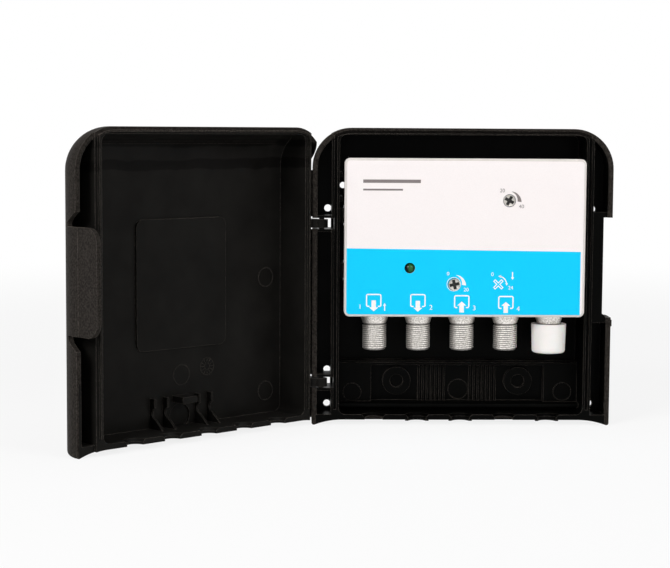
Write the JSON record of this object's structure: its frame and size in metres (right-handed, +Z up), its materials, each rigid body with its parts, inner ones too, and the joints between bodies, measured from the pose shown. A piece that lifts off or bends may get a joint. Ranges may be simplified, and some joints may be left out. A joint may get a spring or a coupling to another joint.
{
  "type": "mast amplifier",
  "caption": "Television mast amplifier: threaded coaxial ports on a metal module, clipped into a shallow plastic weather case with a side-hinged cover.",
  "frame": {"origin": "midway between the two clamp holes, on the plane of their rear mouths", "axes": "+X to the right seen from the front, +Y to the back, towards the mast, +Z up"},
  "size_m": [0.2101, 0.11, 0.1191],
  "materials": {
    "case": "satin",
    "chassis": "bare tin plate",
    "cream_paint": "satin",
    "label": "satin print film",
    "board": "solder mask",
    "screws": "zinc plated",
    "nickel": "nickel plated",
    "cap": "satin",
    "lamp": "clear dyed resin",
    "trimmer_plastic": "moulded",
    "rotor": "plated",
    "chip": "moulded",
    "capacitor": "sleeved",
    "ferrite": "fired",
    "insulator": "moulded",
    "contact": "plated"
  },
  "bodies": {
    "housing": {"rear_housing": "case", "module_chassis": "chassis", "module_lid": "cream_paint", "face_label": "label", "circuit_board": "board", "board_screws": "screws", "connector_nuts": "nickel", "power_led": "lamp", "trimmer_body_1": "trimmer_plastic", "trimmer_body_2": "trimmer_plastic", "shield_partition": "chassis", "amplifier_chips": "chip", "capacitors": "capacitor", "ferrite_cores": "ferrite", "voltage_regulator": "chip", "f_connector_1": "nickel", "connector_insulator_1": "insulator", "connector_contact_1": "contact", "f_connector_2": "nickel", "connector_insulator_2": "insulator", "connector_contact_2": "contact", "f_connector_3": "nickel", "connector_insulator_3": "insulator", "connector_contact_3": "contact", "f_connector_4": "nickel", "connector_insulator_4": "insulator", "connector_contact_4": "contact", "f_connector_5": "nickel", "connector_insulator_5": "insulator", "connector_contact_5": "contact"},
    "cover": {"front_cover": "case"},
    "rotor_1": {"trimmer_rotor_1": "rotor"},
    "rotor_2": {"trimmer_rotor_2": "rotor"},
    "cap": {"dust_cap": "cap"}
  },
  "joints": [
    {"name": "cover_hinge", "type": "hinge", "parent": "housing", "child": "cover", "pos_m": [-0.0563, -0.0204, 0.03347], "axis": [0, 0, 1], "range_deg": [0, 138]},
    {"name": "trimmer_1_turn", "type": "hinge", "parent": "housing", "child": "rotor_1", "pos_m": [0.0173, -0.032, 0.0753], "axis": [0, 1, 0], "range_deg": [-135, 135]},
    {"name": "trimmer_2_turn", "type": "hinge", "parent": "housing", "child": "rotor_2", "pos_m": [-0.004, -0.032, 0.0421], "axis": [0, 1, 0], "range_deg": [-135, 135]},
    {"name": "cap_pull", "type": "slide", "parent": "housing", "child": "cap", "axis": [0, 0, -1], "range_m": [0, 0.014]}
  ]
}
